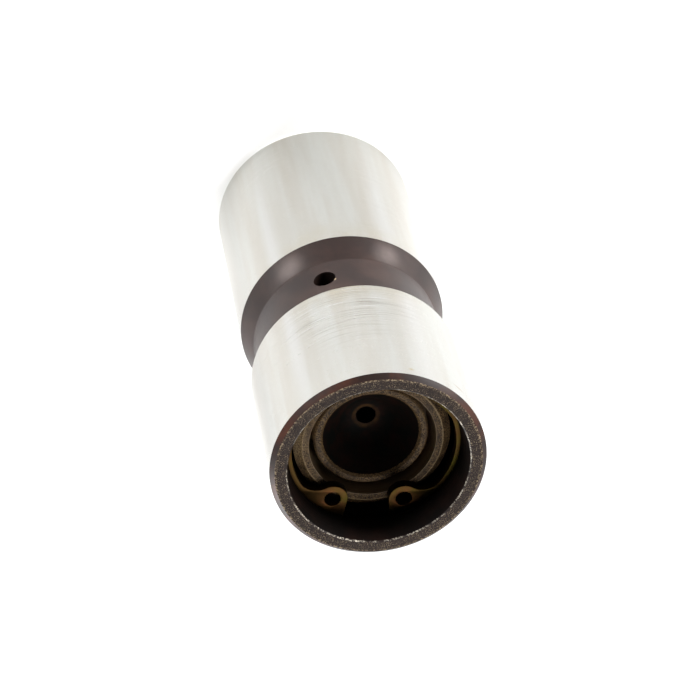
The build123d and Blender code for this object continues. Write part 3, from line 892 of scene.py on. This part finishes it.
def burr_tree():
    """Tiny torn flakes along a round edge, in clusters with gaps between them."""
    tree, given = new_tree("Burr along an edge", ["Radius", "Height", "Spread", "Size"], ["Count", "Seed"])
    round_edge = {"Vertices": given["Count"], "Radius": given["Radius"]}
    edge = add_node(tree, "GeometryNodeMeshCircle", round_edge)

    # Flakes gather in clumps about a millimetre long, where a slow noise is high
    where = add_node(tree, "GeometryNodeInputPosition")
    slow = {"Vector": where, "Scale": 0.9 / MM, "Detail": 2.0, "Roughness": 0.6}
    patchy = add_node(tree, "TexNoise", slow)
    bare = add_node(tree, "FunctionNodeCompare", (patchy, 0.5), operation="LESS_THAN")
    kept = add_node(tree, "GeometryNodeDeleteGeometry", {"Geometry": edge, "Selection": bare})

    # Each is moved, turned and stretched at random
    jitter, turn, stretch = (
        add_node(
            tree,
            "FunctionNodeRandomValue",
            {"Min": low, "Max": high, "Seed": given["Seed"]},
            data_type="FLOAT_VECTOR",
        )
        for low, high in (
            ((-1, -1, -1), (1, 1, 0)),
            ((0, 0, 0), (2 * pi, 2 * pi, 2 * pi)),
            ((0.5, 0.4, 0.3), (1.6, 1.0, 0.8)),
        )
    )
    shift = add_node(tree, "VectorMath", {0: jitter, "Scale": given["Spread"]}, operation="SCALE")
    lift = add_node(tree, "CombineXYZ", {"Z": given["Height"]})
    offset = add_node(tree, "VectorMath", (shift, lift), operation="ADD")
    placed = add_node(tree, "GeometryNodeSetPosition", {"Geometry": kept, "Offset": offset})
    ball = {"Radius": given["Size"], "Subdivisions": 1}
    flake = add_node(tree, "GeometryNodeMeshIcoSphere", ball)
    scattered = {"Points": placed, "Instance": flake, "Rotation": turn, "Scale": stretch}
    return end_tree(tree, add_node(tree, "GeometryNodeInstanceOnPoints", scattered), given)


# One operator for each piece


class LIFTER_OT_body(bpy.types.Operator):
    """Turn, bore, grind and drill the lifter's body"""

    bl_idname = "lifter.body"
    bl_label = "Body"

    def execute(self, context):
        mm = in_mm(context.scene.lifter_body)
        finishes = context.scene.lifter_finishes
        ground, coat, chamfer, face, torn, bore = range(6)
        radius, top, tear = mm.radius, mm.height, mm.edge_break
        mouth = radius - mm.mouth_wall
        relief = radius - mm.relief_wall
        plunger_bore = radius - mm.bore_wall
        groove = relief + mm.groove_depth
        groove_top = top - mm.groove_top
        groove_bottom = groove_top - mm.groove_width
        shoulder = top - mm.relief_depth
        band_top = top - mm.band_start
        band_bottom = band_top - mm.band_length
        band = radius - mm.band_depth
        corners = [
            (0, 0, 0, ground),
            (radius - mm.foot_chamfer, 0, 0.05, ground),
            (radius, mm.foot_chamfer, 0.05, ground),
            (radius, band_bottom, 0.04, coat),
            (band, band_bottom + mm.lower_flank, 0.8, coat),
            (band, band_top - mm.upper_flank, 0.3, coat),
            (radius, band_top, 0.04, ground),
            (radius, top - mm.mouth_chamfer, 0.06, chamfer),
            (radius - mm.mouth_chamfer, top, 0.08, face),
            (mouth + tear, top, 0.03, torn),
            (mouth, top - tear, 0.03, bore),
            (relief, top - mm.lead_in, 0.3, bore),
            (relief, groove_top, 0.04, bore),
            (groove, groove_top, 0.04, bore),
            (groove, groove_bottom, 0.04, bore),
            (relief, groove_bottom, 0.04, bore),
            (relief, shoulder, 0.2, bore),
            (plunger_bore, shoulder - mm.shoulder_drop, 0.1, bore),
            (plunger_bore, mm.foot_thickness, 0.6, bore),
            (0, mm.foot_thickness, 0, bore),
        ]
        slots = [
            ground_steel(finishes, mm),
            phosphate(finishes, mm),
            chamfer_phosphate(finishes),
            chipped_face(finishes, mm),
            torn_edge(finishes),
            bore_phosphate(finishes),
        ]
        body = turned("Lifter_body", rounded(corners), slots)

        # The feed hole's drill reaches from inside the bore to outside the body
        start, end = plunger_bore - 1.5, radius + 1
        place = (mm.hole_angle, hole_height(mm))
        drilled(body, drill(mm.hole_radius, start, end, *place, bore, slots, flare_at=band, flare=0.05))
        smoothed(body)
        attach(body, "lifter")
        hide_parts("lifter_body")

        # Torn flakes at the mouth's inner edge, and smaller chips where the face meets the chamfer.
        # Each row has its radius, spread and size in mm, its count and its seed
        tree = burr_tree()
        for name, reach, spread, size, count, seed in (
            ("Mouth_burr", mouth + 0.5 * tear, 0.035, 0.032, 900, 3),
            ("Face_chips", radius - mm.mouth_chamfer, 0.03, 0.026, 700, 8),
        ):
            piece = grown(
                name,
                tree,
                radius=reach * MM,
                height=(top - 0.05) * MM,
                spread=spread * MM,
                size=size * MM,
                count=count,
                seed=seed,
                finish=slots[torn],
            )
            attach(piece, "lifter")
        return {"FINISHED"}


class LIFTER_OT_ring(bpy.types.Operator):
    """Stamp the snap ring with its two plier lugs"""

    bl_idname = "lifter.ring"
    bl_label = "Snap ring"

    def execute(self, context):
        mm = in_mm(context.scene.lifter_ring)
        radius, side, back = mm.radius, mm.radius - mm.side_width, mm.back_reach
        lug, reach, fillet, flare = mm.lug_radius, mm.lug_centre, mm.fillet, mm.gap_flare
        lug_x, lug_y = reach * sin(mm.lug_angle), reach * cos(mm.lug_angle)

        # The hollow between lug and arm touches both, so its centre closes a triangle with theirs
        hollow = side - fillet
        opening = (reach**2 + hollow**2 - (lug + fillet) ** 2) / (2 * reach * hollow)
        hollow_turn = pi / 2 - mm.lug_angle - acos(opening)
        centre = (hollow * cos(hollow_turn), hollow * sin(hollow_turn))
        to_hollow = degrees(atan2(centre[1] - lug_y, centre[0] - lug_x))

        # The back is drawn in by a larger circle, whose centre lies towards the gap
        start_x, start_y = side * sin(mm.back_start), side * cos(mm.back_start)
        shift = (side**2 - back**2) / (2 * (start_y + back))
        kink = degrees(atan2(start_y - shift, start_x))

        # The lugs' straight sides lean away from the gap and end on the rim
        gap_x, gap_y = lug_x - lug * cos(flare), lug_y + lug * sin(flare)
        rim_y = sqrt(radius**2 - (gap_x + (radius - gap_y) * tan(flare)) ** 2)
        rim_x = gap_x + (rim_y - gap_y) * tan(flare)
        rim_turn = degrees(atan2(rim_y, rim_x))

        half = arc((lug_x, lug_y), lug, 180 - degrees(flare), 360 + to_hollow, 48)
        half += arc(centre, fillet, 180 + to_hollow, degrees(hollow_turn), 24)[1:]
        half += arc((0, 0), side, degrees(hollow_turn), 90 - degrees(mm.back_start), 60)[1:]
        half += arc((0, shift), back + shift, kink, -90, 60)[1:]
        inner = half + [(-x, y) for x, y in reversed(half[:-1])]
        outlines = [arc((0, 0), radius, 180 - rim_turn, 360 + rim_turn, 300) + inner]
        lugs = []
        for x in (lug_x, -lug_x):
            outlines.append(arc((x, lug_y), mm.hole_radius, 360, 0, 48)[:-1])
            lugs.append((x, lug_y, mm.bottom + mm.thickness))
        finish = yellow_zinc(context.scene.lifter_finishes, lugs)
        ring = stamped("Snap_ring", outlines, mm.bottom, mm.thickness, mm.rolled_edge, finish)
        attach(ring, "lifter")
        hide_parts("retaining_ring")
        return {"FINISHED"}


class LIFTER_OT_plunger(bpy.types.Operator):
    """Turn the hollow plunger and drill its cross hole"""

    bl_idname = "lifter.plunger"
    bl_label = "Plunger"

    def execute(self, context):
        scene = context.scene
        mm, finishes = in_mm(scene.lifter_plunger), scene.lifter_finishes
        ground, grainy, dark = range(3)
        radius, top, bottom = mm.radius, mm.top, mm.bottom
        pocket, pocket_floor = radius - mm.top_wall, top - mm.pocket_depth
        reservoir, floor = radius - mm.reservoir_wall, bottom + mm.floor
        hole, seat = mm.valve_hole, mm.valve_seat
        low, high = mm.waist_low, mm.waist_high
        waist, slope = radius - mm.waist_depth, mm.waist_chamfer
        corners = [
            (hole + seat, bottom, 0.03, ground),
            (radius - mm.foot_chamfer, bottom, 0.05, ground),
            (radius, bottom + mm.foot_chamfer, 0.05, ground),
            (radius, low, 0.03, dark),
            (waist + slope, low, 0.03, dark),
            (waist, low + slope, 0.1, dark),
            (waist, high - slope, 0.1, dark),
            (waist + slope, high, 0.03, dark),
            (radius, high, 0.03, ground),
            (radius, top - mm.top_chamfer, 0.08, grainy),
            (pocket + mm.top_flat, top, 0.06, grainy),
            (pocket, top, 0.05, dark),
            (pocket, pocket_floor, 0.05, dark),
            (reservoir, pocket_floor, 0.05, dark),
            (reservoir, floor, 0.3, dark),
            (hole, floor, 0.05, dark),
            (hole, bottom + seat, 0.02, ground),
        ]
        grains = worn_phosphate(finishes, in_mm(scene.lifter_seat), mm)
        slots = [honed_steel(finishes), grains, oily_steel(finishes)]
        plunger = turned("Plunger", rounded(corners, closed=True), slots, closed=True)

        # The cross hole's drill reaches from inside the reservoir to outside the plunger
        start, end, middle = 3.0, radius + 1, (low + high) / 2
        drilled(plunger, drill(mm.cross_hole, start, end, mm.cross_angle, middle, dark, slots))
        smoothed(plunger)
        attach(plunger, "plunger_unit")
        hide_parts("plunger")
        return {"FINISHED"}


class LIFTER_OT_seat(bpy.types.Operator):
    """Turn the pushrod seat with its cup and oil hole"""

    bl_idname = "lifter.seat"
    bl_label = "Pushrod seat"

    def execute(self, context):
        scene = context.scene
        mm, finishes = in_mm(scene.lifter_seat), scene.lifter_finishes
        coat, grainy, cup = range(3)
        bottom, top, edge = mm.bottom, mm.top, mm.chamfer
        flange, boss, bowl, hole = mm.flange_radius, mm.boss_radius, mm.ball_radius, mm.hole_radius
        shoulder, ceiling = bottom + mm.flange_height, bottom + mm.recess_depth
        rim = boss - mm.rim_width
        opening, mouth = rim - mm.rim_drop, top - mm.rim_drop

        # The bowl is round for the pushrod's ball, and the cone above it touches it
        cone_end = mouth - (opening - bowl * cos(mm.cone_angle)) / tan(mm.cone_angle)
        centre = (0, cone_end + bowl * sin(mm.cone_angle))
        corners = [
            (mm.recess_radius, bottom, 0.03, coat),
            (flange - edge, bottom, 0.03, coat),
            (flange, bottom + edge, 0.03, coat),
            (flange, shoulder, 0.08, coat),
            (boss, shoulder, 0.08, coat),
            (boss, top - edge, 0.08, grainy),
            (boss - edge, top, 0.08, grainy),
            (rim, top, 0.08, grainy),
            (opening, mouth, 0.08, cup),
        ]
        for x, y in arc(centre, bowl, -degrees(mm.cone_angle), -degrees(acos(hole / bowl)), 24):
            corners.append((x, y, 0, cup))
        corners += [(hole, ceiling, 0.03, coat), (mm.recess_radius, ceiling, 0.03, coat)]
        grains = worn_phosphate(finishes, mm, in_mm(scene.lifter_plunger))
        slots = [oily_steel(finishes), grains, burnt_cup(finishes, hole)]
        seat = turned("Pushrod_seat", rounded(corners, closed=True), slots, closed=True)
        smoothed(seat)
        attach(seat, "plunger_unit")
        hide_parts("pushrod_seat")
        return {"FINISHED"}


class LIFTER_OT_valve(bpy.types.Operator):
    """Make the metering disc, the check ball and its cage"""

    bl_idname = "lifter.valve"
    bl_label = "Check valve"

    def execute(self, context):
        mm = in_mm(context.scene.lifter_valve)
        finishes = context.scene.lifter_finishes

        # Metering disc with three round notches in its rim
        radius, notch = mm.disc_radius, mm.disc_notch
        bite = degrees(2 * asin(notch / 2 / radius))
        side = degrees(acos(notch / 2 / radius))
        outline = []
        for turn in (0, 120, 240):
            middle = (radius * cos(radians(turn)), radius * sin(radians(turn)))
            outline += arc(middle, notch, turn + 180 + side, turn + 180 - side, 16)
            outline += arc((0, 0), radius, turn + bite, turn + 120 - bite, 60)[1:-1]
        outlines = [outline, arc((0, 0), mm.disc_hole, 360, 0, 32)[:-1]]
        low, thickness, edge = mm.disc_bottom, mm.disc_thickness, mm.disc_edge
        disc = stamped("Metering_disc", outlines, low, thickness, edge, blued_sheet(finishes))
        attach(disc, "disc")
        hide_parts("metering_disc")

        # Check ball
        section = []
        for x, y in arc((0, mm.ball_height), mm.ball_radius, -90, 90, 64):
            section.append((0 if x < 1e-6 else x, y, 0))
        ball = turned("Check_ball", section, [lapped_ball(finishes)], sides=128)
        smoothed(ball)
        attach(ball, "ball")
        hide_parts("check_ball")

        # Pressed cage with four windows, cut from inside its cup outwards
        sheet = rolled_sheet(finishes)
        low, high, wall = mm.cage_bottom, mm.cage_top, mm.cage_sheet
        cup, flange = mm.cup_radius, mm.cage_radius
        corners = [
            (0, low, 0, 0),
            (cup + wall, low, 0.45, 0),
            (cup + wall, high - wall, 0.2, 0),
            (flange, high - wall, 0.06, 0),
            (flange, high, 0.06, 0),
            (cup, high, 0.3, 0),
            (cup, low + wall, 0.2, 0),
            (0, low + wall, 0, 0),
        ]
        cage = turned("Ball_cage", rounded(corners), [sheet], sides=192)
        middle = (high + low + wall) / 2
        half, width = (mm.window_height - mm.window_width) / 2, mm.window_width / 2
        slot = arc((half, 0), width, -90, 90, 16) + arc((-half, 0), width, 90, 270, 16)
        windows = []
        for turn in range(4):
            window = stamped("Window%d" % turn, [slot], 1.5, cup + wall, 0.0, sheet)
            stand_up = Matrix.Rotation(turn * pi / 2, 4, "Z") @ Matrix.Rotation(pi / 2, 4, "Y")
            window.data.transform(Matrix.Translation((0, 0, middle * MM)) @ stand_up)
            windows.append(window)
        drilled(cage, *windows)
        smoothed(cage)
        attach(cage, "plunger_unit")
        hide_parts("ball_cage")
        return {"FINISHED"}


class LIFTER_OT_springs(bpy.types.Operator):
    """Wind the plunger spring and the check ball's spring"""

    bl_idname = "lifter.springs"
    bl_label = "Springs"

    def execute(self, context):
        sizes = context.scene.lifter_springs
        wire = drawn_wire(context.scene.lifter_finishes)
        tree = coil_tree()
        keys = ("radius", "wire", "bottom", "top", "turns", "closing")
        coarse_sizes = {key: getattr(sizes, key) for key in keys}
        coil = grown("Plunger_spring", tree, finish=wire, **coarse_sizes)
        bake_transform(coil)
        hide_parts("plunger_spring")
        fine_sizes = {key: getattr(sizes, "fine_" + key) for key in keys}
        fine = grown("Ball_spring", tree, finish=wire, **fine_sizes)
        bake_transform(fine)
        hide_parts("ball_spring")
        return {"FINISHED"}


class LIFTER_OT_stage(bpy.types.Operator):
    """Set up the floor, the soft light and the camera"""

    bl_idname = "lifter.stage"
    bl_label = "Stage"

    def execute(self, context):
        sizes = context.scene.lifter_stage
        scene = context.scene
        scene.view_settings.view_transform = "Standard"
        scene.view_settings.look = "None"

        # Pale floor under the foot, no wider than the lights shine, with the white surroundings behind it
        half = sizes.floor / 2
        corners = [(x * half, y * half, 0) for x, y in ((-1, -1), (1, -1), (1, 1), (-1, 1))]
        mesh = bpy.data.meshes.new("Floor")
        mesh.from_pydata(corners, [], [(0, 1, 2, 3)])
        floor = linked("Floor", mesh)
        material, tree, _ = new_finish("White matt floor")
        shade(tree, coated(tree, sizes.floor_colour), 0.9, gloss=0.1)
        mesh.materials.append(material)

        # White surroundings that fade to a dim ceiling
        world = bpy.data.worlds.get("Soft white") or bpy.data.worlds.new("Soft white")
        scene.world = world
        world.use_nodes = True
        sky = world.node_tree
        sky.nodes.clear()
        way = add_node(sky, "TexCoord", out="Generated")
        high = add_node(sky, "SeparateXYZ", [way], out="Z")
        rise = {"Value": high, "From Min": 0.1, "From Max": 0.45, "To Min": sizes.sky, "To Max": sizes.top}
        fade = add_node(sky, "MapRange", rise, interpolation_type="SMOOTHSTEP")

        # They are open at the front, towards the camera, where it is darker
        towards = add_node(
            sky, "VectorMath", (way, (0.3, -0.954, 0)), out="Value", operation="DOT_PRODUCT"
        )
        gap = {"Value": towards, "From Min": 0.75, "From Max": 0.95, "To Min": 1.0, "To Max": sizes.front}
        opening = add_node(sky, "MapRange", gap, interpolation_type="SMOOTHSTEP")
        fade = add_node(sky, "Math", (fade, opening), operation="MULTIPLY")
        glow = add_node(sky, "Background", {"Color": (1, 1, 1, 1), "Strength": fade})
        add_node(sky, "OutputWorld", {"Surface": glow})

        # Soft lights stand low to both sides of the camera and behind the lifter, so that its inside
        # stays dark, and a weak one hangs overhead. Each has its power in watts, its long side in
        # metres, and its turn and rise in degrees
        middle = Vector((0, 0, 0.025))
        for name, power, side, turn, rise in (
            ("Left light", 4.6, 0.25, -33, 8),
            ("Right light", 7.6, 0.25, -139, 8),
            ("Back light", 3.0, 0.25, 60, 12),
            ("Overhead light", 2.2, 0.5, 115, 60),
        ):
            lamp = bpy.data.lights.new(name, "AREA")
            lamp.energy = sizes.light * power
            lamp.shape = "RECTANGLE"
            lamp.size, lamp.size_y = side, side / 2
            light = linked(name, lamp)
            light.visible_camera = False
            turn, rise = radians(turn), radians(rise)
            spot = sizes.reach * Vector((cos(turn) * cos(rise), sin(turn) * cos(rise), sin(rise)))
            facing = (middle - spot).to_track_quat("-Z", "Y").to_matrix().to_4x4()
            light.matrix_world = Matrix.Translation(spot) @ facing

        # The camera stands where the photograph was taken from, and is rolled so that the mouth is below
        lens = bpy.data.cameras.new("Camera")
        lens.lens = sizes.lens
        lens.sensor_width = 36
        lens.clip_start, lens.clip_end = 0.01, 10
        camera = linked("Camera", lens)
        stand = (0.0492, -0.157, 0.2704)
        across = (-0.98566, -0.09199, 0.14148)
        up = (0.0, -0.83838, -0.54508)
        back = (0.16876, -0.53726, 0.82636)
        turn = Matrix((across, up, back)).transposed().to_4x4()
        camera.matrix_world = Matrix.Translation(stand) @ turn
        scene.camera = camera
        return {"FINISHED"}


class LIFTER_PT_panel(bpy.types.Panel):
    """Buttons for the pieces, and their sizes"""

    bl_idname = "LIFTER_PT_panel"
    bl_label = "Valve lifter"
    bl_space_type = "VIEW_3D"
    bl_region_type = "UI"
    bl_category = "Lifter"

    def draw(self, context):
        for name, group, operator in PIECES:
            box = self.layout.box()
            if operator:
                box.operator(operator.bl_idname)
            for key in group.__annotations__:
                box.prop(getattr(context.scene, name), key)


PIECES = (
    ("lifter_finishes", Finishes, None),
    ("lifter_stage", StageSizes, LIFTER_OT_stage),
    ("lifter_body", BodySizes, LIFTER_OT_body),
    ("lifter_ring", RingSizes, LIFTER_OT_ring),
    ("lifter_plunger", PlungerSizes, LIFTER_OT_plunger),
    ("lifter_seat", SeatSizes, LIFTER_OT_seat),
    ("lifter_valve", ValveSizes, LIFTER_OT_valve),
    ("lifter_springs", SpringSizes, LIFTER_OT_springs),
)


def register():
    for name, group, operator in PIECES:
        bpy.utils.register_class(group)
        setattr(bpy.types.Scene, name, PointerProperty(type=group))
        if operator:
            bpy.utils.register_class(operator)
    bpy.utils.register_class(LIFTER_PT_panel)


def unregister():
    bpy.utils.unregister_class(LIFTER_PT_panel)
    for name, group, operator in reversed(PIECES):
        if operator:
            bpy.utils.unregister_class(operator)
        delattr(bpy.types.Scene, name)
        bpy.utils.unregister_class(group)


def main():
    register()
    bpy.ops.lifter.stage()
    bpy.ops.lifter.body()
    bpy.ops.lifter.ring()
    bpy.ops.lifter.plunger()
    bpy.ops.lifter.seat()
    bpy.ops.lifter.valve()
    bpy.ops.lifter.springs()


if __name__ == "__main__":
    main()
